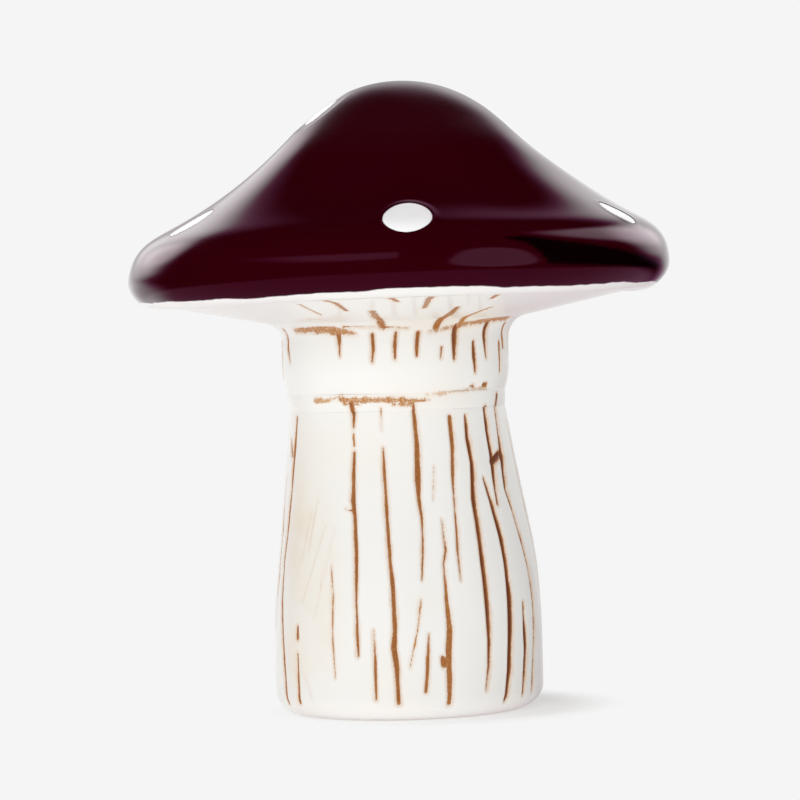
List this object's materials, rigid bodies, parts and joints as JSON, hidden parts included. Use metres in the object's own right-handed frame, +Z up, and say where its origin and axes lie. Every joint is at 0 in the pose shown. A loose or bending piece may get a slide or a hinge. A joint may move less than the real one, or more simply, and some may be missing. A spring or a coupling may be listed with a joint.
{
  "type": "ceramic mushroom ornament",
  "caption": "Free-standing hollow glazed ceramic mushroom: wine cap with raised white spots on a white stem with a collar and flat foot.",
  "frame": {"origin": "middle of the foot, on the surface that the ornament stands on", "axes": "+Z up along the stem's axis; the face seen in the picture looks along -Y"},
  "size_m": [0.104, 0.104, 0.12],
  "materials": {
    "white_glaze": "clear gloss over white earthenware, brown wash in the carved lines",
    "wine_glaze": "high-gloss wine red, nearly black",
    "spot_white": "glossy opaque white",
    "slip": "fired slip, unglazed inside"
  },
  "bodies": {
    "root": {"stem": "white_glaze", "collar_slip_joint": "slip", "cap_underside": "white_glaze", "rim_slip_joint": "slip", "cap_crown": "wine_glaze", "spot_front": "spot_white", "spot_right": "spot_white", "spot_back_right": "spot_white", "spot_back": "spot_white", "spot_back_left": "spot_white", "spot_left": "spot_white", "spot_upper_left": "spot_white", "spot_upper_right": "spot_white"}
  },
  "joints": []
}
